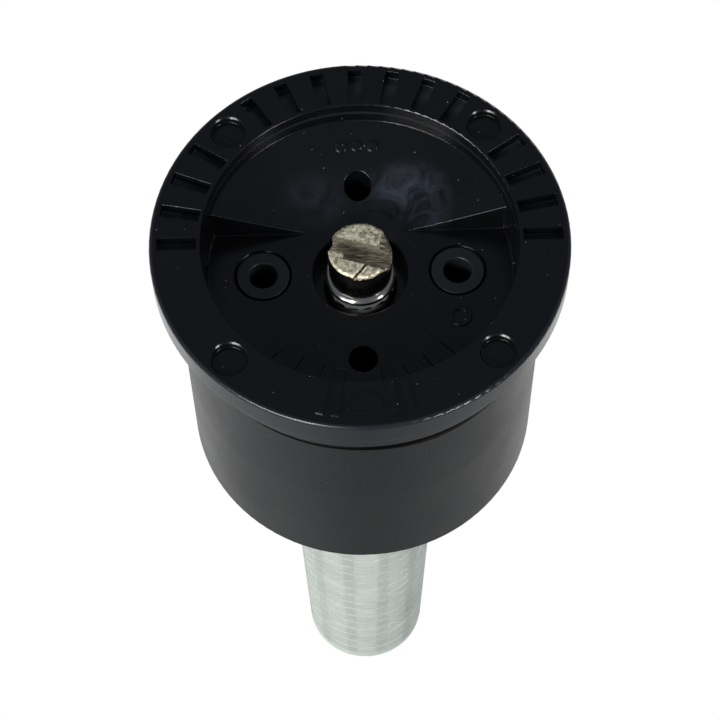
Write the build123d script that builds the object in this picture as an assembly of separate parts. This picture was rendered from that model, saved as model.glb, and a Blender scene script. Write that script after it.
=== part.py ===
"""Half-circle spray nozzle of a pop up sprinkler, with its adjusting screw and its filter basket.

Millimetres. +Z runs up the nozzle's axis, and the origin is on that axis in the plane of the skirt's mouth,
where the riser enters. The water leaves towards +Y, through the slot under the cap's sloped rear half.
"""

from build123d import *
import math
import os

# Overall stack, as heights above the skirt's mouth
SKIRT_H = 15.2          # height of the threaded base
CAP_H = 5.5             # height of the cap above the base
BASKET_REACH = 35.2     # how far the filter basket hangs below the mouth

# Cap
FLANGE_D = 24.0
FLANGE_T = 1.77
FLANGE_OVERHANG = 0.8   # beyond the drum
RIM_W = 2.93            # between the recess and the flange's edge
DRUM_H = 2.26           # round the closed front half, below the flange
NECK_INSET = 1.3        # of the neck under the drum
RECESS_DRAFT = 0.11     # how much the recess's radius shrinks at its floor
RECESS_DEPTH = 3.88
RAMP_CHORD_Y = 2.76     # the sloped half starts at this straight wall
RAMP_FROM_HUB = 0.4     # where the slope meets the recess floor
RAMP_RISE = 2.35        # over the slope's width
RAMP_WALL = 1.6
SLOT_WALL = 0.9         # beside the spray slot, behind the straight wall
SLOT_MIN_H = 0.3        # height of the spray slot beside the hub
SPRAY_FROM_PIN = 0.22   # the water port and the opening in the drum start this far behind the pins
TOOL_HOLE_D = 1.62
RAMP_HOLE_R = 5.5
NOTCH_FROM_RECESS, NOTCH_FROM_EDGE = 0.22, 0.44
NOTCH_W, NOTCH_DEPTH = 0.8, 0.7
NOTCH_STEP = 11.25      # degrees
NOTCH_SPAN = 180.0      # degrees, round the spray side
DIMPLE_D, DIMPLE_DEPTH = 1.96, 0.45
DIMPLE_COUNT = 4
DIMPLE_TURN = 45.0      # degrees, where the first one is
EDGE = 0.2              # usual moulded edge radius
FINE_EDGE = 0.1

# Moulded marks on the cap
RELIEF = 0.12           # their height
MARK_L = 2.0            # length of a bar
FLOOR_BAR_W = 0.6
FLOOR_BAR_FROM_WALL = 1.56      # to the middle of a bar on the recess floor
FLOOR_BAR_STEP = 11.5   # degrees
FLOOR_BARS_EACH_SIDE = 4
RIM_BAR_W = 0.42
RIM_BAR_TURNS = (8.5, 13.0)     # degrees either side of the half-disc
RIM_MARK_INSET = 0.2    # the marks on the flange sit this far inside the middle of its rim
HALF_DISC_R = 1.0
RING_MARK_R, RING_MARK_BORE_R = 0.62, 0.46
RING_MARK_X, RING_MARK_Y = 5.7, -3.1
DOT_R = 0.3
DOT_TURNS = (-7, 0, 7)  # degrees from the middle of the slope
DOT_OUTWARD = 0.4       # from midway between the slope's hole and the wall

# Hub in the middle of the cap
HUB_D = 7.2
HUB_H = 6.8             # below the base's top face
WELL_D = 5.52
WELL_DEPTH = 1.42       # below the recess floor
SCREW_CLEARANCE = 0.04  # radial, between screw and hub
LEAD_IN = 0.3           # chamfer at the end of a thread or a bore

# Threaded base
SKIRT_LIP = 0.65        # the skirt's top edge stands out from the neck
SKIRT_DRAFT = 0.15      # the skirt's radius grows by this down to its straight land
SKIRT_LAND_H = 9.0
WEB_T = 2.8
RISER_MAJOR_D = 15.875
RISER_PITCH = 25.4 / 28
RISER_THREAD_DEPTH = 0.49
FLANK_SHARE, CREST_SHARE = 0.38, 0.18   # of the pitch
MOUTH_CHAMFER = 0.7
PORT_W = 0.55           # width of the half-ring water port round the hub
PRESS_GAP = 0.01        # radial, between pieces pressed or welded together

# Locating pins: hollow, one each side of the hub, flush with the recess floor
PIN_D = 3.16
PIN_FROM_HUB = 0.49
PIN_IN_BASE = 2.0

# Adjusting screw
SCREW_TOP_BELOW_CAP = 1.24
HEAD_D = 3.67
HEAD_H = 2.46
HEAD_BLEND = 0.2        # height of the cone between the slotted end and the thread
SCREW_THREAD_D = 4.16
SCREW_THREAD_H = 4.1
LAND_D = 3.9
SLOT_W, SLOT_DEPTH, SLOT_TURN = 1.05, 1.0, -18.0
TIP_D = 1.2
TIP_H = 1.3
SCREW_UP, SCREW_DOWN = 0.8, 1.6     # travel from the rest setting

# Sealing ring on the screw
RING_SECTION = 1.0
RING_CLEARANCE = 0.04
RING_GROOVE_D = 3.4
RING_PLAY = 0.15        # above and below the ring in its groove
RING_BELOW_BASE_TOP = 4.5

# Washer, filter collar and filter basket
WASHER_T = 0.8
WASHER_BORE_D = 11.2
COLLAR_FLANGE_T = 1.0
COLLAR_GAP = 0.1        # under the washer
COLLAR_CLEARANCE = 0.1  # radial, inside the riser thread's crests
COLLAR_DEPTH = 5.9      # flange top to the underside of the metering plate
METER_PLATE_T = 1.0
METER_BORE_D = 3.4      # the hole that the screw's tip throttles
METER_CLEARANCE = 0.05  # radial, round the screw's tip when it is turned fully down
BASKET_TOP_D = 10.6
BASKET_BOTTOM_D = 8.44
COLLAR_WALL = 0.65
MESH_T = 0.35
BAR_COUNT = 12
BAR_W, BAR_T = 0.6, 0.6
FOOT_T = 1.1
FOOT_EDGE = 0.4
HOOP_H = 1.0

# Diameters and radii worked out from the flange and the hub
DRUM_D = FLANGE_D - 2 * FLANGE_OVERHANG
NECK_D = DRUM_D - 2 * NECK_INSET
SKIRT_TOP_D = NECK_D + 2 * SKIRT_LIP
SKIRT_MOUTH_D = SKIRT_TOP_D + 2 * SKIRT_DRAFT
RECESS_D = FLANGE_D - 2 * RIM_W
TOOL_HOLE_R = HUB_D / 2 + PIN_FROM_HUB + PIN_D / 2      # distance of the pins from the axis
RAMP_INNER_R = HUB_D / 2 + RAMP_FROM_HUB
SPRAY_FROM_Y = PIN_D / 2 + SPRAY_FROM_PIN
NOTCH_FROM_R = RECESS_D / 2 + NOTCH_FROM_RECESS
NOTCH_TO_R = FLANGE_D / 2 - NOTCH_FROM_EDGE
RIM_MID_R = (RECESS_D + FLANGE_D) / 4

# Heights worked out from the stack
CAP_TOP = SKIRT_H + CAP_H
FLANGE_BOTTOM = CAP_TOP - FLANGE_T
DRUM_BOTTOM = FLANGE_BOTTOM - DRUM_H
FLOOR = CAP_TOP - RECESS_DEPTH
RECESS_FLOOR_R = RECESS_D / 2 - RECESS_DRAFT
WELL_FLOOR = FLOOR - WELL_DEPTH
HUB_END = SKIRT_H - HUB_H
WEB_BOTTOM = SKIRT_H - WEB_T
SCREW_TOP = CAP_TOP - SCREW_TOP_BELOW_CAP
THREAD_TOP = SCREW_TOP - HEAD_H
THREAD_END = THREAD_TOP - SCREW_THREAD_H
RING_Z = SKIRT_H - RING_BELOW_BASE_TOP
RING_INNER_R = RING_GROOVE_D / 2 + RING_CLEARANCE
RING_OUTER_R = RING_INNER_R + RING_SECTION
SEAL_BORE_R = RING_OUTER_R + RING_CLEARANCE
SEAL_BORE_TOP = RING_Z + SCREW_UP + RING_SECTION
COLLAR_TOP = WEB_BOTTOM - WASHER_T - COLLAR_GAP
COLLAR_BOTTOM = COLLAR_TOP - COLLAR_DEPTH
METER_TOP = COLLAR_BOTTOM + METER_PLATE_T
TIP_SHOULDER = METER_TOP + SCREW_DOWN
TIP_END = TIP_SHOULDER - TIP_H
RISER_MINOR_R = RISER_MAJOR_D / 2 - RISER_THREAD_DEPTH
THREAD_RUN = COLLAR_TOP - COLLAR_FLANGE_T - RISER_PITCH

RAMP_SLOPE = RAMP_RISE / (RECESS_FLOOR_R - RAMP_INNER_R)
OUTSIDE = FLANGE_D      # safely outside everything, for cutters
PAST = 1.0              # how far a cutter runs past a face


def turned(*corners):
    """Revolves an outline about Z. A corner is (radius, height), or has a fillet radius as a third value."""
    face = make_face(Polyline(*[corner[:2] for corner in corners], close=True)).face()
    for radius, height, fillet_r in [corner for corner in corners if len(corner) == 3]:
        spot = face.vertices().sort_by_distance((radius, height, 0))[0]
        face = face.fillet_2d(fillet_r, [spot])
    return revolve(Plane.XZ * face, Axis.Z)


def round_bar(radius, low, high, x=0.0, y=0.0):
    return Pos(x, y, (low + high) / 2) * Cylinder(radius, high - low)


def behind(y, low, high):
    """The half of space behind a plane across the nozzle, between two heights."""
    return Pos(0, y + OUTSIDE, (low + high) / 2) * Box(4 * OUTSIDE, 2 * OUTSIDE, high - low)


def ramp_height(radius):
    return FLOOR + (radius - RAMP_INNER_R) * RAMP_SLOPE


def chamfered_hole(radius, low, top, x, y, edge):
    """A drilled hole with its rim broken, as a cutter."""
    rim = Pos(x, y, top - edge / 2) * Cone(radius, radius + edge, edge)
    mouth = round_bar(radius + edge, top, top + FLANGE_T, x, y)
    return round_bar(radius, low, top, x, y) + rim + mouth


def write(node, shape):
    shape.label = node
    export_step(shape, f"parts/{node}.step")


def moulded_marks():
    """Plain raised marks: bars and a ring on the floor, bars and a half-disc on the rim, dots on the slope."""
    marks = []
    floor_bar = Pos(0, FLOOR_BAR_FROM_WALL - RECESS_FLOOR_R, FLOOR) * Box(FLOOR_BAR_W, MARK_L, 2 * RELIEF)
    for step in range(1, FLOOR_BARS_EACH_SIDE + 1):
        marks += [Rot(0, 0, side * step * FLOOR_BAR_STEP) * floor_bar for side in (-1, 1)]
    rim_y = RIM_MARK_INSET - RIM_MID_R
    rim_bar = Pos(0, rim_y, CAP_TOP) * Box(RIM_BAR_W, MARK_L, 2 * RELIEF)
    for turn in RIM_BAR_TURNS:
        marks += [Rot(0, 0, side * turn) * rim_bar for side in (-1, 1)]
    flat_y = rim_y - HALF_DISC_R / 2
    disc = round_bar(HALF_DISC_R, CAP_TOP - RELIEF, CAP_TOP + RELIEF, 0, flat_y)
    marks.append(disc & behind(flat_y, CAP_TOP - PAST, CAP_TOP + PAST))
    ring = round_bar(RING_MARK_R, FLOOR - RELIEF, FLOOR + RELIEF, RING_MARK_X, RING_MARK_Y)
    marks.append(ring - round_bar(RING_MARK_BORE_R, FLOOR - PAST, FLOOR + PAST, RING_MARK_X, RING_MARK_Y))
    dot_r = (RAMP_HOLE_R + RECESS_FLOOR_R) / 2 + DOT_OUTWARD
    on_slope = Pos(0, dot_r, ramp_height(dot_r)) * Rot(math.degrees(math.atan(RAMP_SLOPE)), 0, 0)
    marks += [Rot(0, 0, turn) * on_slope * Cylinder(DOT_R, 2 * RELIEF) for turn in DOT_TURNS]
    return marks


def deflector_cap():
    screw_bore_r = SCREW_THREAD_D / 2 + SCREW_CLEARANCE
    cap = turned(
        (SEAL_BORE_R, HUB_END), (SEAL_BORE_R, SEAL_BORE_TOP), (screw_bore_r, SEAL_BORE_TOP + LEAD_IN),
        (screw_bore_r, WELL_FLOOR),
        (WELL_D / 2, WELL_FLOOR), (WELL_D / 2, FLOOR, FINE_EDGE),
        (RECESS_FLOOR_R, FLOOR, FINE_EDGE), (RECESS_D / 2, CAP_TOP, FINE_EDGE),
        (FLANGE_D / 2, CAP_TOP, EDGE), (FLANGE_D / 2, FLANGE_BOTTOM, FINE_EDGE),
        (DRUM_D / 2, FLANGE_BOTTOM), (DRUM_D / 2, DRUM_BOTTOM, FINE_EDGE),
        (NECK_D / 2, DRUM_BOTTOM), (NECK_D / 2, SKIRT_H),
        (HUB_D / 2, SKIRT_H), (HUB_D / 2, HUB_END),
    )
    wall_r = RECESS_FLOOR_R + RECESS_DRAFT
    ramp = turned((RAMP_INNER_R, FLOOR), (wall_r, ramp_height(wall_r)), (wall_r, FLOOR - FINE_EDGE),
                  (RAMP_INNER_R, FLOOR - FINE_EDGE))
    cap += ramp & behind(RAMP_CHORD_Y, SKIRT_H, CAP_TOP)
    drop = RAMP_WALL * math.sqrt(1 + RAMP_SLOPE**2)
    slot_roof = SKIRT_H + SLOT_MIN_H
    roof_r = RAMP_INNER_R + (slot_roof + drop - FLOOR) / RAMP_SLOPE
    below = SKIRT_H - PAST
    low_slot = turned((HUB_D / 2, below), (OUTSIDE, below), (OUTSIDE, slot_roof), (HUB_D / 2, slot_roof))
    sloped_slot = turned((roof_r, slot_roof - FINE_EDGE), (OUTSIDE, slot_roof - FINE_EDGE),
                         (OUTSIDE, ramp_height(OUTSIDE) - drop), (roof_r, slot_roof))
    drum_opening = sloped_slot - round_bar(RECESS_D / 2 + SLOT_WALL, below, OUTSIDE)
    cap -= low_slot & behind(SPRAY_FROM_Y, SKIRT_H, CAP_TOP)
    cap -= sloped_slot & behind(RAMP_CHORD_Y + SLOT_WALL, SKIRT_H, CAP_TOP)
    cap -= drum_opening & behind(SPRAY_FROM_Y, SKIRT_H, CAP_TOP)
    for side in (-1, 1):
        cap -= chamfered_hole(PIN_D / 2 + PRESS_GAP, below, FLOOR, side * TOOL_HOLE_R, 0, FINE_EDGE)
    cap -= chamfered_hole(TOOL_HOLE_D / 2, below, FLOOR, 0, -TOOL_HOLE_R, FINE_EDGE / 2)
    cap -= round_bar(TOOL_HOLE_D / 2, below, CAP_TOP, 0, RAMP_HOLE_R)
    notch_mid = (NOTCH_FROM_R + NOTCH_TO_R) / 2
    notch = Pos(notch_mid, 0, CAP_TOP) * Box(NOTCH_TO_R - NOTCH_FROM_R, NOTCH_W, 2 * NOTCH_DEPTH)
    dimple = chamfered_hole(DIMPLE_D / 2, CAP_TOP - DIMPLE_DEPTH, CAP_TOP, RIM_MID_R, 0, FINE_EDGE)
    dimple_turns = [DIMPLE_TURN + 360 / DIMPLE_COUNT * i for i in range(DIMPLE_COUNT)]
    for turn in dimple_turns:
        cap -= Rot(0, 0, turn) * dimple
    for step in range(round(NOTCH_SPAN / NOTCH_STEP) + 1):
        turn = step * NOTCH_STEP
        if min(abs(turn - taken) for taken in dimple_turns) > NOTCH_STEP / 2:
            cap -= Rot(0, 0, turn) * notch
    for mark in moulded_marks():
        cap += mark
    return cap


def nozzle_base():
    crest, root = RISER_MINOR_R, RISER_MAJOR_D / 2
    inner = [(root + MOUTH_CHAMFER / 2, 0), (root, MOUTH_CHAMFER / 2)]
    flank, flat = FLANK_SHARE * RISER_PITCH, CREST_SHARE * RISER_PITCH
    for turn in range(int((THREAD_RUN - MOUTH_CHAMFER) / RISER_PITCH)):
        low = MOUTH_CHAMFER + turn * RISER_PITCH
        inner += [(root, low), (crest, low + flank), (crest, low + flank + flat)]
        inner.append((root, low + 2 * flank + flat))
    inner += [(root, WEB_BOTTOM), (HUB_D / 2 + PRESS_GAP, WEB_BOTTOM), (HUB_D / 2 + PRESS_GAP, SKIRT_H)]
    base = turned(*inner, (SKIRT_TOP_D / 2, SKIRT_H, EDGE), (SKIRT_MOUTH_D / 2, SKIRT_LAND_H),
                  (SKIRT_MOUTH_D / 2, 0, EDGE))
    below, above = WEB_BOTTOM - PAST, SKIRT_H + PAST
    port = round_bar(HUB_D / 2 + PORT_W, below, above) - round_bar(HUB_D / 2, below, above)
    base -= port & behind(SPRAY_FROM_Y, below, above)
    for side in (-1, 1):
        base -= round_bar(PIN_D / 2 + PRESS_GAP, SKIRT_H - PIN_IN_BASE, above, side * TOOL_HOLE_R)
    return base


def locating_pin(side):
    outer, bore = PIN_D / 2, TOOL_HOLE_D / 2
    pin = turned((bore, SKIRT_H - PIN_IN_BASE), (bore, FLOOR, FINE_EDGE), (outer, FLOOR, FINE_EDGE),
                 (outer, SKIRT_H - PIN_IN_BASE))
    return Pos(side * TOOL_HOLE_R, 0, 0) * pin


def adjusting_screw():
    tip_r = METER_BORE_D / 2 - METER_CLEARANCE
    groove_low, groove_high = (RING_Z + side * (RING_SECTION / 2 + RING_PLAY) for side in (-1, 1))
    screw = turned(
        (0, TIP_END), (TIP_D / 2, TIP_END), (tip_r, TIP_SHOULDER), (LAND_D / 2, TIP_SHOULDER + LEAD_IN),
        (LAND_D / 2, groove_low), (RING_GROOVE_D / 2, groove_low), (RING_GROOVE_D / 2, groove_high),
        (LAND_D / 2, groove_high), (LAND_D / 2, THREAD_END), (SCREW_THREAD_D / 2, THREAD_END + LEAD_IN),
        (SCREW_THREAD_D / 2, THREAD_TOP - HEAD_BLEND), (HEAD_D / 2, THREAD_TOP),
        (HEAD_D / 2, SCREW_TOP, FINE_EDGE), (0, SCREW_TOP),
    )
    slot = Pos(0, 0, SCREW_TOP) * Rot(0, 0, SLOT_TURN) * Box(2 * HEAD_D, SLOT_W, 2 * SLOT_DEPTH)
    return screw - slot


def screw_seal_ring():
    return Pos(0, 0, RING_Z) * Torus((RING_INNER_R + RING_OUTER_R) / 2, RING_SECTION / 2)


def riser_washer():
    disc = round_bar(RISER_MAJOR_D / 2 - PRESS_GAP, WEB_BOTTOM - WASHER_T, WEB_BOTTOM)
    return disc - round_bar(WASHER_BORE_D / 2, WEB_BOTTOM - WASHER_T - PAST, WEB_BOTTOM + PAST)


def basket_r(height):
    """Outer radius of the tapered basket at a height."""
    share = (COLLAR_BOTTOM - height) / (COLLAR_BOTTOM + BASKET_REACH)
    return (BASKET_TOP_D + (BASKET_BOTTOM_D - BASKET_TOP_D) * share) / 2


def filter_collar():
    flange_r = RISER_MINOR_R - COLLAR_CLEARANCE
    cup_r = BASKET_TOP_D / 2
    return turned(
        (cup_r - COLLAR_WALL, COLLAR_TOP), (flange_r, COLLAR_TOP, FINE_EDGE),
        (flange_r, COLLAR_TOP - COLLAR_FLANGE_T),
        (cup_r, COLLAR_TOP - COLLAR_FLANGE_T), (cup_r, COLLAR_BOTTOM), (METER_BORE_D / 2, COLLAR_BOTTOM),
        (METER_BORE_D / 2, METER_TOP), (cup_r - COLLAR_WALL, METER_TOP),
    )


def filter_frame():
    """Upright bars between two hoops, inside the mesh."""
    top, bottom = COLLAR_BOTTOM, -BASKET_REACH + FOOT_T
    skin = MESH_T + PRESS_GAP
    shell = turned((basket_r(bottom) - skin, bottom), (basket_r(top) - skin, top),
                   (basket_r(top) - skin - BAR_T, top), (basket_r(bottom) - skin - BAR_T, bottom))
    frame = shell & round_bar(OUTSIDE, top - HOOP_H, top)
    frame += shell & round_bar(OUTSIDE, bottom, bottom + HOOP_H)
    upright = Pos(OUTSIDE / 2, 0, (top + bottom) / 2) * Box(OUTSIDE, BAR_W, top - bottom)
    for bar in range(BAR_COUNT):
        frame += shell & (Rot(0, 0, 360 / BAR_COUNT * (bar + 0.5)) * upright)
    return frame


def filter_mesh():
    top, bottom = COLLAR_BOTTOM, -BASKET_REACH + FOOT_T
    return turned((basket_r(bottom), bottom), (basket_r(top), top), (basket_r(top) - MESH_T, top),
                  (basket_r(bottom) - MESH_T, bottom))


def filter_foot():
    low, high = -BASKET_REACH, -BASKET_REACH + FOOT_T
    return turned((0, low), (basket_r(low), low, FOOT_EDGE), (basket_r(high), high), (0, high))


os.makedirs("parts", exist_ok=True)
write("deflector_cap", deflector_cap())
write("nozzle_base", nozzle_base())
write("locating_pin_left", locating_pin(-1))
write("locating_pin_right", locating_pin(1))
write("adjusting_screw", adjusting_screw())
write("screw_seal_ring", screw_seal_ring())
write("riser_washer", riser_washer())
write("filter_collar", filter_collar())
write("filter_frame", filter_frame())
write("filter_mesh", filter_mesh())
write("filter_foot", filter_foot())
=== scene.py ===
"""Spray nozzle of a pop up sprinkler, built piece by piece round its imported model.

Metres, +Z up the nozzle's axis, with the origin in the plane of the skirt's mouth. It sprays towards +Y.
"""

import math

import bmesh
import bpy
from mathutils import Matrix, Vector, noise


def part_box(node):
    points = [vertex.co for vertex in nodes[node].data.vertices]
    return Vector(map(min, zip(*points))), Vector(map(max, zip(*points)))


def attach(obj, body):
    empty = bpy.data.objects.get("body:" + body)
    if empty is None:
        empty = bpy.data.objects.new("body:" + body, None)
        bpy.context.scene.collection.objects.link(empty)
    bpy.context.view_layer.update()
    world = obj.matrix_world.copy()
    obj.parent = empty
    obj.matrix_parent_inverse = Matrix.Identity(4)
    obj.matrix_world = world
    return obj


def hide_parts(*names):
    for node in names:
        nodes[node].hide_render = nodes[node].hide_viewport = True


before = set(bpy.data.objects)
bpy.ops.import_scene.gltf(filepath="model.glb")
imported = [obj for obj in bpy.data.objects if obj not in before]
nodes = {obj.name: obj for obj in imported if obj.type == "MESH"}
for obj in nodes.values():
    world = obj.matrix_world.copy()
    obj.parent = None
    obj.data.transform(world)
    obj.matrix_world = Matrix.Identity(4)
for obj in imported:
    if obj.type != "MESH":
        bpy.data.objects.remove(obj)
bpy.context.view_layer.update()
MM = 0.001


# Deflector cap and its two locating pins.
# One injection moulding in black acetal, welded to the base, with a hollow pin pressed in beside the hub on
# each side. It has scuffs on its slope and specks of dust. Painted light and shade: its notch floors are
# painted lighter, its rim and drum sides lighter, its neck near black, and a dark ring round each pin's edge.
# The mould was spark eroded, so flat faces have a very fine grain and every moulded edge is a little round.

def linear(hex_colour):
    """An sRGB hex colour as linear RGBA."""
    channels = [int(hex_colour[i:i + 2], 16) / 255 for i in (1, 3, 5)]
    return (*[c / 12.92 if c <= 0.04045 else ((c + 0.055) / 1.055) ** 2.4 for c in channels], 1.0)


def add(tree, kind, *inputs, **settings):
    """Adds a shader node. Inputs are given in order or by name, as a value or as the node that feeds them."""
    made = tree.nodes.new("ShaderNode" + kind)
    named = {key.replace("_", " "): value for key, value in settings.items() if not hasattr(made, key)}
    for key, value in settings.items():
        if hasattr(made, key):
            setattr(made, key, value)
    for key, value in [*enumerate(inputs), *named.items()]:
        if isinstance(value, bpy.types.Node):
            value = next(o for o in value.outputs if o.enabled)
        if isinstance(value, bpy.types.NodeSocket):
            tree.links.new(made.inputs[key], value)
        elif value is not None:
            made.inputs[key].default_value = value
    return made


def new_material(name):
    material = bpy.data.materials.new(name)
    material.use_nodes = True
    material.node_tree.nodes.clear()
    return material, material.node_tree


def ramp_between(tree, value, low, high, to_low=0.0, to_high=1.0):
    return add(tree, "MapRange", value, low, high, to_low, to_high)


def surface(tree, shader):
    add(tree, "OutputMaterial", Surface=shader)


def dress(names, material):
    """Gives carried-over nodes their material."""
    for name in names:
        mesh = nodes[name].data
        mesh.materials.clear()
        mesh.materials.append(material)


def grown(tree, place, size, **settings):
    """Noise whose features are about one size across."""
    return add(tree, "TexNoise", Vector=place, Scale=1 / size, **settings)


def moulded(tree, place, grain_size, grain_depth, edge_round):
    """The fine spark-eroded grain of a mould, on faces whose edges are a little round."""
    rounded = add(tree, "Bevel", Radius=edge_round, samples=6)
    grain = grown(tree, place, grain_size, Detail=3.0)
    return add(tree, "Bump", Strength=0.5, Distance=grain_depth, Height=grain, Normal=rounded)


def blot(tree, place, centre, reach):
    """One inside a soft-edged ball, fading to nought at its reach."""
    away = add(tree, "VectorMath", place, centre, operation="DISTANCE").outputs["Value"]
    return ramp_between(tree, away, reach, 0.0)


def blend_colours(tree, share, low, high):
    return add(tree, "MixRGB", share, low, high)


def times(tree, a, b):
    return add(tree, "Math", a, b, operation="MULTIPLY")


def plus(tree, a, b):
    return add(tree, "Math", a, b, operation="ADD")


def larger(tree, a, b):
    return add(tree, "Math", a, b, operation="MAXIMUM")


def along_axis(tree, place, axis):
    return add(tree, "SeparateXYZ", place).outputs[axis]


def from_upright_axis(tree, place):
    """How far a point is from the upright line through the origin."""
    flat = add(tree, "VectorMath", place, (1, 1, 0), operation="MULTIPLY")
    return add(tree, "VectorMath", flat, operation="LENGTH").outputs["Value"]


def acetal(tree, tint, rough, dull, relief):
    """Acetal's shader. It loses most of its shine where dull is one."""
    shine = ramp_between(tree, dull, 0.0, 1.0, FULL_SHINE, DULL_SHINE)
    surface(tree, add(tree, "BsdfPrincipled", Base_Color=tint, Roughness=rough, IOR=ACETAL_IOR,
                      Specular_IOR_Level=shine, Normal=relief))


def from_pin(tree, place):
    """How far a point is from the axis of the nearer locating pin."""
    mirrored = add(tree, "VectorMath", place, operation="ABSOLUTE")
    offset = add(tree, "VectorMath", mirrored, (PIN_AT, 0, 0), operation="SUBTRACT")
    return from_upright_axis(tree, offset)


ACETAL_IOR, FULL_SHINE, DULL_SHINE = 1.48, 0.5, 0.05
EDGE_ROUND, SOCKET_ROUND = 0.08 * MM, 0.02 * MM
PIN_AT, PIN_R, SOCKET_R = 5.67 * MM, 1.58 * MM, 1.72 * MM
NOTCH_FROM_R, NOTCH_TO_R, NOTCH_FLOOR = 9.0 * MM, 11.6 * MM, 20.0 * MM
NECK_SHADE_TOP, FLANGE_BOTTOM, RIM_R, DRUM_R = 16.6 * MM, 18.93 * MM, 11.85 * MM, 11.2 * MM
FADE = 0.1 * MM     # over which one tint gives way to the next
SCUFF_GRAIN, SPECK_SPACING, FLOW_SIZE = 1.5 * MM, 0.6 * MM, 3.5 * MM
SCUFFS = (((2.8, 4.2, 17.6), 3.0, 1.0), ((-2.6, 4.4, 17.6), 2.4, 0.25))     # centre and reach in mm, strength
# The near black colour is painted shade: used in the cap's neck, round the pins' edges and on the base's top
# edge.
PAINTED_SHADE, SCUFFED, DUST = linear("#020202"), linear("#454b59"), linear("#b4b6b4")
NOTCH_PAINTED_SHEEN, SIDE_PAINTED_LIGHT = linear("#2a2d31"), linear("#1c2023")

black_acetal, tree = new_material("moulded_black_acetal")
place = add(tree, "TexCoord").outputs["Object"]
height, radius = along_axis(tree, place, "Z"), from_upright_axis(tree, place)
swirl = grown(tree, place, SCUFF_GRAIN, Detail=8.0, Roughness=0.68, Distortion=0.7)
haze = None
for centre, reach, strength in SCUFFS:
    ball = blot(tree, place, [c * MM for c in centre], reach * MM)
    patch = times(tree, times(tree, ball, ramp_between(tree, swirl, 0.38, 0.70)), strength)
    haze = patch if haze is None else larger(tree, haze, patch)
specks = add(tree, "TexVoronoi", Vector=place, Scale=1 / SPECK_SPACING, Randomness=1.0)
shown = ramp_between(tree, along_axis(tree, specks.outputs["Color"], "X"), 0.25, 0.95)
dust = times(tree, ramp_between(tree, specks.outputs["Distance"], 0.06, 0.02), shown)
flow = grown(tree, place, FLOW_SIZE, Detail=2.0)
tint = blend_colours(tree, ramp_between(tree, flow, 0.4, 0.65), linear("#07080a"), linear("#090a0c"))
tint = blend_colours(tree, haze, tint, SCUFFED)
tint = blend_colours(tree, dust, tint, DUST)
rough = plus(tree, ramp_between(tree, flow, 0.35, 0.7, 0.20, 0.26), times(tree, haze, 0.25))
# Painted sheen: the notch floors are painted lighter, as bright as the flange's shine, which their walls
# would hide.
in_notch = times(tree, ramp_between(tree, radius, NOTCH_FROM_R, NOTCH_FROM_R + FADE),
                 ramp_between(tree, radius, NOTCH_TO_R + FADE, NOTCH_TO_R))
on_its_floor = times(tree, ramp_between(tree, height, NOTCH_FLOOR + 0.8 * FADE, NOTCH_FLOOR + 0.4 * FADE),
                     ramp_between(tree, height, NOTCH_FLOOR - 2 * FADE, NOTCH_FLOOR - FADE))
tint = blend_colours(tree, times(tree, in_notch, on_its_floor), tint, NOTCH_PAINTED_SHEEN)
# Painted light: the rim's and drum's upright sides are painted a lighter grey than the cap's tops.
side = larger(tree, ramp_between(tree, radius, RIM_R - FADE, RIM_R),
              ramp_between(tree, height, FLANGE_BOTTOM + FADE, FLANGE_BOTTOM))
side = times(tree, side, ramp_between(tree, radius, DRUM_R - 2 * FADE, DRUM_R - FADE))
tint = blend_colours(tree, side, tint, SIDE_PAINTED_LIGHT)
# Painted shade: the cap below the neck line is painted near black, standing for the shadow under the flange.
tint = blend_colours(tree, ramp_between(tree, height, NECK_SHADE_TOP, NECK_SHADE_TOP - 2 * FADE), tint, PAINTED_SHADE)
pin_away = from_pin(tree, place)
socket = ramp_between(tree, pin_away, SOCKET_R, SOCKET_R - 0.3 * FADE)
rounding = ramp_between(tree, pin_away, SOCKET_R, SOCKET_R + FADE, SOCKET_ROUND, EDGE_ROUND)
acetal(tree, tint, rough, socket, moulded(tree, place, 0.11 * MM, 0.014 * MM, rounding))
dress(["deflector_cap"], black_acetal)

pin_acetal, tree = new_material("turned_dark_grey_acetal")
place = add(tree, "TexCoord").outputs["Object"]
tint = blend_colours(tree, grown(tree, place, 0.5 * MM, Detail=4.0), linear("#171a1b"), linear("#1f2223"))
# Painted shade: a thin ring at the pin's outer edge is painted near black and dull, for the gap round the
# pin.
outline = ramp_between(tree, from_pin(tree, place), PIN_R - 0.6 * FADE, PIN_R - 0.3 * FADE)
tint = blend_colours(tree, outline, tint, PAINTED_SHADE)
acetal(tree, tint, 0.4, outline, moulded(tree, place, 0.08 * MM, 0.006 * MM, SOCKET_ROUND))
dress(["locating_pin_left", "locating_pin_right"], pin_acetal)


# Threaded base.
# The skirt that screws onto the riser: acetal with carbon black, from a mould with a coarser finish.
# It looks a shade greyer and duller than the cap, with a fine even grain. Its top edge is painted near black
# and dull, a painted shadow under the cap, deeper towards +X.

GRIT_SIZE, NICK_SPACING, PATCH_SIZE = 0.1 * MM, 1.6 * MM, 5 * MM
SEAM_SHADE_LEFT, SEAM_SHADE_RIGHT, SEAM_SHADE_RIGHT_FROM = 0.26 * MM, 0.55 * MM, 4 * MM
base_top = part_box("nozzle_base")[1].z

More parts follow.
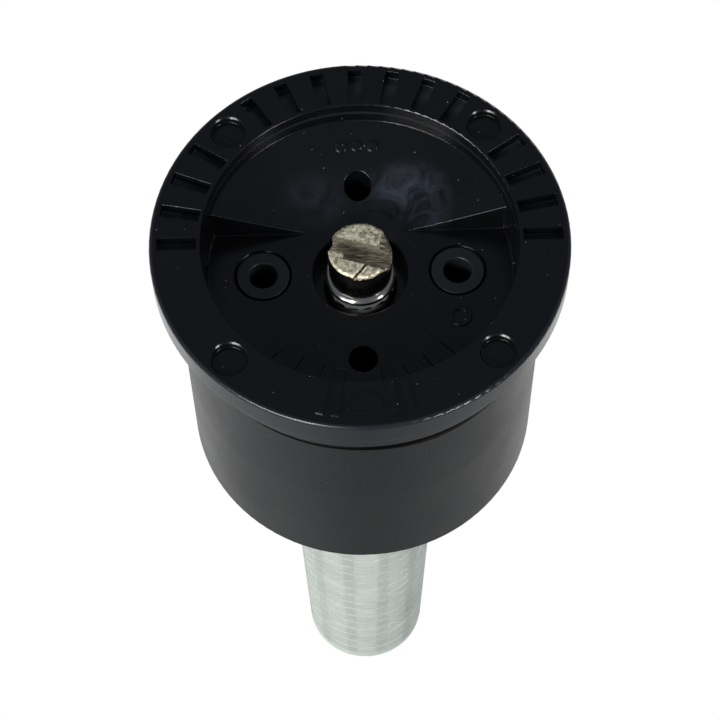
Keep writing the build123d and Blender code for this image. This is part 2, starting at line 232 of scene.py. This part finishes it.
base_acetal, tree = new_material("satin_black_acetal")
place = add(tree, "TexCoord").outputs["Object"]
patches = grown(tree, place, PATCH_SIZE, Detail=3.0)
tint = blend_colours(tree, patches, linear("#0b0e0f"), linear("#101315"))
grit = grown(tree, place, GRIT_SIZE, Detail=2.0)
tint = blend_colours(tree, ramp_between(tree, grit, 0.4, 0.7, 0.0, 0.4), tint, linear("#232729"))
nicks = add(tree, "TexVoronoi", Vector=place, Scale=1 / NICK_SPACING, Randomness=1.0)
nicked = ramp_between(tree, nicks.outputs["Distance"], 0.04, 0.015)
tint = blend_colours(tree, nicked, tint, linear("#4c5051"))
# Painted shadow: a dark, dull band along the base's top edge, deeper towards +X, for the shade under the cap.
seam_shade_depth = ramp_between(tree, along_axis(tree, place, "X"), 0.0, SEAM_SHADE_RIGHT_FROM, SEAM_SHADE_LEFT, SEAM_SHADE_RIGHT)
above_seam_shade_edge = plus(tree, plus(tree, along_axis(tree, place, "Z"), seam_shade_depth), -base_top)
seam_shade = ramp_between(tree, above_seam_shade_edge, 0.0, 0.4 * FADE)
tint = blend_colours(tree, seam_shade, tint, PAINTED_SHADE)
rough = ramp_between(tree, patches, 0.3, 0.7, 0.36, 0.44)
acetal(tree, tint, rough, seam_shade, moulded(tree, place, 0.14 * MM, 0.05 * MM, SOCKET_ROUND))
dress(["nozzle_base"], base_acetal)


# Rubber ring and riser washer.
# Moulded black nitrile rubber: dull, with a faint bloom.

rubber, tree = new_material("nitrile_rubber")
bloom = grown(tree, add(tree, "TexCoord").outputs["Object"], 1.2 * MM, Detail=4.0)
tint = blend_colours(tree, bloom, linear("#141414"), linear("#242423"))
surface(tree, add(tree, "BsdfPrincipled", Base_Color=tint, Roughness=0.75, IOR=1.52))
dress(["screw_seal_ring", "riser_washer"], rubber)


# Adjusting screw.
# Turned from stainless bar: a plain slotted end, a number 8 thread of 32 to the inch, and a throttling tip.
# The screwdriver has chewed the slotted end, which is dull and pale gold, and the sides keep their polish.

HEAD_R, HEAD_H = 1.835 * MM, 2.46 * MM
CREST_R, ROOT_R, PITCH = 2.08 * MM, 1.62 * MM, 25.4 / 32 * MM
THREAD_H = 4.1 * MM
SHOULDER = ((0.02, 1.89), (0.09, 1.98), (0.12, 1.94), (0.21, 2.05), (0.24, 2.01), (0.33, 2.08), (0.44, 2.08))
LAND_R, GROOVE_R = 1.95 * MM, 1.70 * MM
TIP_R, TIP_SHOULDER_R, TIP_H = 0.6 * MM, 1.65 * MM, 1.3 * MM
SLOT_HALF_W, SLOT_DEPTH, SLOT_TURN = 0.47 * MM, 0.95 * MM, math.radians(-17)
SLOT_EDGE_HALF_W, ROW_CLEARANCE = 0.012, 0.02 * MM
EDGE_ROWS, COLUMNS, PITCH_STEPS = 44, 110, 14
THREAD_FLANK, THREAD_CREST = 1.35, 0.14     # slope of the flanks, and how far the crest is cut flat
RUN_OUT, RING_ROOM = 0.25 * MM, 0.15 * MM
screw_low, screw_high = (corner.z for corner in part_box("adjusting_screw"))
ring_low, ring_high = (corner.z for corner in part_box("screw_seal_ring"))


def skin(bm, rows, closed=True):
    """Joins rows of vertices, each with as many as the next, into faces."""
    for low_row, high_row in zip(rows, rows[1:]):
        count = len(low_row)
        for i in range(count if closed else count - 1):
            j = (i + 1) % count
            bm.faces.new((low_row[i], low_row[j], high_row[j], high_row[i]))


def as_piece(name, bm, body, materials):
    """Finishes a mesh as a piece that rides on a body."""
    bmesh.ops.recalc_face_normals(bm, faces=bm.faces)
    mesh = bpy.data.meshes.new(name)
    bm.to_mesh(mesh)
    bm.free()
    for material in materials:
        mesh.materials.append(material)
    mesh.shade_smooth()
    piece = bpy.data.objects.new(name, mesh)
    bpy.context.scene.collection.objects.link(piece)
    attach(piece, body)
    return piece


def smoothstep(value, low, high):
    t = min(max((value - low) / (high - low), 0.0), 1.0)
    return t * t * (3 - 2 * t)


# Wear on the slotted end, in mm, with the slot along x.
RIM_DROP, RIM_WIDTH = 0.12, 0.15
SHEARED_FROM, SHEARED_TO, SHEARED_DROP, SHEARED_SLOPE = 0.92, 1.04, 0.30, 0.22
GOUGE_FROM, GOUGE_TO, GOUGE_DEPTH = -1.0, -0.7, 0.42
GOUGE_REACH, GOUGE_END = 0.26, 0.36         # out from the slot
CRACK_Y, CRACK_SLANT, CRACK_X, CRACK_HALF_W, CRACK_DEPTH = 0.8, 0.4, 0.58, 0.07, 0.35
CHEWED_X, CHEWED_DROP, CHEWED_LUMPS = 0.62, 0.12, 0.16


def head_height(x, y):
    """Height of the worn end above its true flat, in mm, with the slot running along x and both in mm."""
    grit = noise.noise(Vector((x, y, 0)) * 5) * 0.4 + noise.noise(Vector((x, y, 1)) * 13) * 0.35
    drag = noise.noise(Vector((x * 0.7, y * 11, 3)))
    rim = HEAD_R / MM - math.hypot(x, y)
    rounding = RIM_DROP * (1 - smoothstep(rim, 0, RIM_WIDTH)) * (1.1 + grit)
    half_w = SLOT_HALF_W / MM
    if abs(y) < half_w:
        return -SLOT_DEPTH / MM + 0.07 * drag + 0.02 * grit - 0.3 * rounding
    if y > 0:
        sheared = smoothstep(x + 0.12 * grit, SHEARED_FROM, SHEARED_TO)
        return 0.03 * grit - rounding - sheared * (SHEARED_DROP + SHEARED_SLOPE * (x - 1) + 0.06 * drag)
    out = -y - half_w - 0.1 * grit
    gouged = smoothstep(x, GOUGE_FROM, GOUGE_TO) * (1 - smoothstep(out, GOUGE_REACH, GOUGE_END))
    slant = CRACK_SLANT * (y + CRACK_Y)
    beyond_crack = smoothstep(x - CHEWED_X - slant, 0.0, 0.1)
    crack = CRACK_DEPTH * math.exp(-((x - CRACK_X - slant) / CRACK_HALF_W) ** 2) * smoothstep(-y, 0.7, 0.8)
    lumps = abs(noise.noise(Vector((x, y, 7)) * 3))
    chewed = beyond_crack * (CHEWED_DROP + CHEWED_LUMPS * lumps + 0.05 * grit)
    return 0.03 * grit - rounding - max(gouged * (GOUGE_DEPTH + 0.06 * drag), chewed, crack)


def chewed_end(bm):
    """The slotted end: rows of vertices along the slot, closed by a wall down to the thread."""
    turn = Matrix.Rotation(SLOT_TURN, 3, "Z")
    lines = [-HEAD_R * math.cos(math.pi * (i + 0.5) / (2 * EDGE_ROWS)) for i in range(2 * EDGE_ROWS)]
    offsets = (-SLOT_EDGE_HALF_W, SLOT_EDGE_HALF_W)
    slot_edges = [side * (SLOT_HALF_W + off * MM) for side in (-1, 1) for off in offsets]
    lines = sorted([y for y in lines if min(abs(y - e) for e in slot_edges) > ROW_CLEARANCE] + slot_edges)
    rows = []
    for y in lines:
        half = math.sqrt(HEAD_R**2 - y**2)
        row = []
        for i in range(COLUMNS + 1):
            x = -half * math.cos(math.pi * i / COLUMNS)
            row.append(bm.verts.new(turn @ Vector((x, y, screw_high + MM * head_height(x / MM, y / MM)))))
        rows.append(row)
    skin(bm, rows, closed=False)
    loop = rows[0] + [row[-1] for row in rows[1:-1]] + rows[-1][::-1] + [row[0] for row in rows[-2:0:-1]]
    wall = [loop]
    for share in (0.5, 1.0):
        bottom = screw_high - HEAD_H
        wall.append([bm.verts.new((v.co.x, v.co.y, v.co.z + (bottom - v.co.z) * share)) for v in loop])
    skin(bm, wall)
    bm.faces.new(wall[-1])


def turned_grid(bm, stations, segments=96):
    """A turned surface through (height, radius) stations. A radius may be a function of angle and height."""
    rows = []
    for height, radius in stations:
        row = []
        for i in range(segments):
            angle = 2 * math.pi * i / segments
            r = radius(angle, height) if callable(radius) else radius
            row.append(bm.verts.new((r * math.cos(angle), r * math.sin(angle), height)))
        rows.append(row)
    skin(bm, rows)
    bm.faces.new(rows[0])
    bm.faces.new(rows[-1])


def thread_radius(angle, height):
    phase = (height / PITCH - angle / (2 * math.pi)) % 1.0
    wave = min(max(abs(phase - 0.5) * 2 * THREAD_FLANK - THREAD_CREST, 0.0), 1.0)
    return CREST_R + (ROOT_R - CREST_R) * wave


steel, tree = new_material("turned_stainless_steel")
place = add(tree, "TexCoord").outputs["Object"]
stretched = add(tree, "Mapping", place, Scale=(0.15, 0.15, 1.0))
lathe = grown(tree, stretched, 0.06 * MM, Detail=3.0)
rough = ramp_between(tree, lathe, 0.3, 0.7, 0.10, 0.22)
relief = add(tree, "Bump", Strength=0.25, Distance=0.01 * MM, Height=lathe)
surface(tree, add(tree, "BsdfPrincipled", Base_Color=linear("#c9c5bc"), Metallic=1.0, Roughness=rough,
                  Normal=relief))

chewed, tree = new_material("screwdriver_worn_steel")
place = add(tree, "TexCoord").outputs["Object"]
torn = grown(tree, place, 0.13 * MM, Detail=6.0, Roughness=0.7)
stain = grown(tree, place, 0.22 * MM, Detail=5.0, Roughness=0.65)
tint = blend_colours(tree, ramp_between(tree, stain, 0.36, 0.6), linear("#8d8365"), linear("#fff8da"))
relief = add(tree, "Bump", Strength=1.0, Distance=0.05 * MM, Height=torn)
surface(tree, add(tree, "BsdfPrincipled", Base_Color=tint, Metallic=0.55, Roughness=0.4, Normal=relief))

dragged, tree = new_material("scraped_slot_steel")
place = add(tree, "TexCoord").outputs["Object"]
along = add(tree, "Mapping", place, Rotation=(0, 0, -SLOT_TURN), Scale=(0.08, 1, 1))
streaks = grown(tree, along, 0.09 * MM, Detail=4.0, Roughness=0.6)
tint = blend_colours(tree, ramp_between(tree, streaks, 0.36, 0.62), linear("#453e34"), linear("#b9af99"))
relief = add(tree, "Bump", Strength=1.0, Distance=0.04 * MM, Height=streaks)
surface(tree, add(tree, "BsdfPrincipled", Base_Color=tint, Metallic=0.6, Roughness=0.38, Normal=relief))

bm = bmesh.new()
chewed_end(bm)
thread_top = screw_high - HEAD_H
thread_end = thread_top - THREAD_H
steps = int(THREAD_H / PITCH * PITCH_STEPS)
stations = [(thread_top + 0.01 * MM, HEAD_R - 0.03 * MM)]
stations += [(thread_top - drop * MM, radius * MM) for drop, radius in SHOULDER]
shoulder_end = stations[-1][0]
for i in range(1, steps + 1):
    height = shoulder_end - (shoulder_end - thread_end) * i / (steps + 1)
    run_out = 1 - smoothstep(height, shoulder_end - RUN_OUT, shoulder_end)
    stations.append((height, lambda a, z, k=run_out: CREST_R * (1 - k) + thread_radius(a, z) * k))
tip_shoulder = screw_low + TIP_H
groove_high, groove_low = ring_high + RING_ROOM, ring_low - RING_ROOM
stations += [(thread_end, ROOT_R), (thread_end - 0.05 * MM, LAND_R), (groove_high, LAND_R),
             (groove_high, GROOVE_R), (groove_low, GROOVE_R), (groove_low, LAND_R),
             (tip_shoulder + 0.3 * MM, LAND_R), (tip_shoulder, TIP_SHOULDER_R), (screw_low, TIP_R)]
turned_grid(bm, stations)
CHEWED, DRAGGED, GOUGE_FLOOR = 1, 2, 0.24 * MM      # the materials' places, and how deep a dragged face lies
screw = as_piece("radius_screw", bm, "screw", [steel, chewed, dragged])
for face in screw.data.polygons:
    middle = face.center
    if middle.z > screw_high - 1.2 * SLOT_DEPTH and face.normal.z > 0.3:
        face.material_index = DRAGGED if middle.z < screw_high - GOUGE_FLOOR else CHEWED
    across = math.cos(SLOT_TURN) * middle.y - math.sin(SLOT_TURN) * middle.x
    if middle.z > screw_high - SLOT_DEPTH and abs(across) < SLOT_HALF_W + 0.03 * MM:
        face.material_index = DRAGGED
screw.data.set_sharp_from_angle(angle=math.radians(35))
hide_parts("adjusting_screw")


# Filter basket.
# Moulded in natural polyethylene: a collar, upright bars, and a screen of fine hoops over a woven cloth.
# It is milky and a little translucent, so the gaps between its hoops show only as faint grey lines.

HOOP_PITCH, HOOP_GAP, HOOP_T = 1.38 * MM, 0.28 * MM, 0.045 * MM
STRIP_COUNT, STRIP_W = 12, 0.75 * MM
STRIP_INSET, STRIP_SHARE = 0.01 * MM, 0.9           # in from the hoops, and of their thickness
CLOTH_T, CLOTH_CELL = 0.06 * MM, 0.18 * MM
CLOUD_SIZE, GRAIN_SIZE = 2.5 * MM, 0.15 * MM
(_, screen_high), foot_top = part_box("filter_mesh"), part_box("filter_foot")[1]
screen_low_z, screen_low_r = foot_top.z, foot_top.x
screen_high_z, screen_high_r = screen_high.z, screen_high.x


def screen_radius(height):
    share = (height - screen_low_z) / (screen_high_z - screen_low_z)
    return screen_low_r + (screen_high_r - screen_low_r) * share


def milky(name, low, high, weave=None):
    """Natural polyethylene, cloudy, with a woven or a plain moulded surface."""
    material, tree = new_material(name)
    place = add(tree, "TexCoord").outputs["Object"]
    cloud = grown(tree, place, CLOUD_SIZE, Detail=4.0)
    tint = blend_colours(tree, ramp_between(tree, cloud, 0.35, 0.65), linear(low), linear(high))
    if weave:
        height = add(tree, "TexVoronoi", Vector=place, Scale=1 / weave, Randomness=0.3).outputs["Distance"]
    else:
        height = grown(tree, place, GRAIN_SIZE, Detail=3.0)
    relief = add(tree, "Bump", Strength=0.35, Distance=0.03 * MM, Height=height)
    surface(tree, add(tree, "BsdfPrincipled", Base_Color=tint, Roughness=0.42, Normal=relief, IOR=1.5,
                      Subsurface_Weight=0.35, Subsurface_Radius=(1.0, 1.0, 0.9), Subsurface_Scale=0.6 * MM))
    return material


polyethylene = milky("natural_polyethylene", "#b9c2b8", "#c6cfc4")
screen_cloth = milky("woven_polyethylene", "#b1bab0", "#bec7bd", weave=CLOTH_CELL)
dress(["filter_collar", "filter_frame", "filter_foot"], polyethylene)


def hoop(bm, low, high, thickness, segments=120):
    """One round-edged hoop of the tapered screen, flush with its outside."""
    edge = min(0.25 * (high - low), 0.35 * thickness)
    outline = [(low + edge, 0.0), (high - edge, 0.0), (high, -edge)]
    outline += [(high, -thickness), (low, -thickness), (low, -edge)]
    rows = []
    angles = [2 * math.pi * i / segments for i in range(segments)]
    for height, inset in outline:
        radius = screen_radius(height) + inset
        rows.append([bm.verts.new((radius * math.cos(a), radius * math.sin(a), height)) for a in angles])
    skin(bm, rows + rows[:1])


bm = bmesh.new()
hoops = int((screen_high_z - screen_low_z) / HOOP_PITCH)
for i in range(hoops + 1):
    low = screen_low_z + i * HOOP_PITCH
    hoop(bm, low, min(low + HOOP_PITCH - HOOP_GAP, screen_high_z), HOOP_T)
for i in range(STRIP_COUNT):
    middle = 2 * math.pi * (i + 0.5) / STRIP_COUNT
    rows = []
    for height in (screen_low_z, screen_high_z):
        outside = screen_radius(height) - STRIP_INSET
        half = STRIP_W / 2 / outside
        inside = outside - STRIP_SHARE * HOOP_T
        corners = [(outside, -half), (outside, 0), (outside, half), (inside, half), (inside, -half)]
        corners = [(r, middle + a) for r, a in corners]
        rows.append([bm.verts.new((r * math.cos(a), r * math.sin(a), height)) for r, a in corners])
    skin(bm, rows)
    bm.faces.new(rows[0])
    bm.faces.new(rows[1])
screen = as_piece("filter_screen", bm, "filter", [polyethylene])
screen.data.set_sharp_from_angle(angle=math.radians(40))
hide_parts("filter_mesh")

bm = bmesh.new()
hoop(bm, screen_low_z, screen_high_z, HOOP_T + CLOTH_T)
for vertex in bm.verts:
    reach = vertex.co.xy.length
    inner = screen_radius(vertex.co.z) - HOOP_T
    vertex.co.xy *= (inner - (CLOTH_T if reach < inner - CLOTH_T / 2 else 0)) / reach
cloth = as_piece("filter_cloth", bm, "filter", [screen_cloth])
cloth.data.set_sharp_from_angle(angle=math.radians(40))
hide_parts("filter_mesh")


# Floor, lights and camera.
# The nozzle is seen from above its closed side, over a glowing floor well below it: white where it is seen,
# and dimmer under the nozzle, graded to light the skirt.

FLOOR_DROP, FLOOR_HALF = 0.22, 1.5
NEAR_HALF = 0.15                        # the floor's grey near part, each side of the middle
NEAR_FROM_TO, BACKDROP_FROM_TO = (-0.12, 0.03), (-0.015, 0.045)     # the second is where it turns white
GLOW_LEFT_TO_RIGHT, GLOW_ADDED_BACKWARD, GLOW_ADDED_SIDEWAYS = (0.41, 0.34), (-0.12, 0.08), (-0.08, 0.18)
floor_mesh = bpy.data.meshes.new("studio_floor")
floor_corners = [(x * FLOOR_HALF, y * FLOOR_HALF, -FLOOR_DROP)
                 for x, y in ((-1, -1), (1, -1), (1, 1), (-1, 1))]
floor_mesh.from_pydata(floor_corners, [], [(0, 1, 2, 3)])
studio_floor = bpy.data.objects.new("studio_floor", floor_mesh)
bpy.context.scene.collection.objects.link(studio_floor)
# The floor glows as a light: its dimmer near part is graded brighter to the left, backwards and at the sides.
glowing_floor, tree = new_material("glowing_floor_light")
place = add(tree, "TexCoord").outputs["Object"]
across, away = along_axis(tree, place, "X"), along_axis(tree, place, "Y")
aside = add(tree, "Math", across, operation="ABSOLUTE")
near = plus(tree, ramp_between(tree, across, -NEAR_HALF, NEAR_HALF, *GLOW_LEFT_TO_RIGHT),
            ramp_between(tree, away, *NEAR_FROM_TO, *GLOW_ADDED_BACKWARD))
near = plus(tree, near, ramp_between(tree, aside, 0.0, NEAR_HALF, *GLOW_ADDED_SIDEWAYS))
glow = larger(tree, near, ramp_between(tree, away, *BACKDROP_FROM_TO))
surface(tree, add(tree, "Emission", Color=linear("#ffffff"), Strength=glow))
floor_mesh.materials.append(glowing_floor)

top_of_nozzle = Vector((0, 0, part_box("deflector_cap")[1].z))
SOFTBOX_DISTANCE = 0.5


def softbox(name, turn, rise, width, height, radiance):
    """A softbox that faces the nozzle. It is turned to the right of the front, and raised, in degrees."""
    turn, rise = math.radians(turn), math.radians(rise)
    out = Vector((math.sin(turn) * math.cos(rise), -math.cos(turn) * math.cos(rise), math.sin(rise)))
    light = bpy.data.lights.new(name, "AREA")
    light.shape, light.size, light.size_y = "RECTANGLE", width, height
    light.energy = radiance * math.pi * width * height
    lamp = bpy.data.objects.new(name, light)
    lamp.location = top_of_nozzle + SOFTBOX_DISTANCE * out
    lamp.rotation_euler = out.to_track_quat("Z", "Y").to_euler()
    bpy.context.scene.collection.objects.link(lamp)


softbox("front_left_window", -35, 22, 0.30, 0.20, 14)
softbox("front_left_strip", -24, 33, 0.06, 0.10, 28)
softbox("front_right_softbox", 52, 24, 0.10, 0.12, 24)
world = bpy.data.worlds.new("studio")
world.use_nodes = True
world.node_tree.nodes["Background"].inputs["Color"].default_value = linear("#949ba8")
world.node_tree.nodes["Background"].inputs["Strength"].default_value = 0.44
bpy.context.scene.world = world

CAMERA_DISTANCE = 134.2 * MM
CAMERA_RISE, CAMERA_TURN, CAMERA_ROLL = (math.radians(a) for a in (62.28, -0.81, -0.97))
CAMERA_LENS = 118.4
AIM_RIGHT, AIM_UP = -0.008 * MM, 6.935 * MM
back = Vector((math.sin(CAMERA_TURN) * math.cos(CAMERA_RISE), -math.cos(CAMERA_TURN) * math.cos(CAMERA_RISE),
               math.sin(CAMERA_RISE)))
level = Vector((math.cos(CAMERA_TURN), math.sin(CAMERA_TURN), 0))
right = (Matrix.Rotation(CAMERA_ROLL, 3, back) @ level).normalized()
up = back.cross(right)
camera = bpy.data.objects.new("camera", bpy.data.cameras.new("camera"))
camera.data.lens = CAMERA_LENS
camera.data.clip_start = 0.01
stand = top_of_nozzle - AIM_RIGHT * right - AIM_UP * up + CAMERA_DISTANCE * back
camera.matrix_world = Matrix.Translation(stand) @ Matrix((right, up, back)).transposed().to_4x4()
bpy.context.scene.collection.objects.link(camera)
bpy.context.scene.camera = camera
bpy.context.scene.view_settings.view_transform = "Standard"
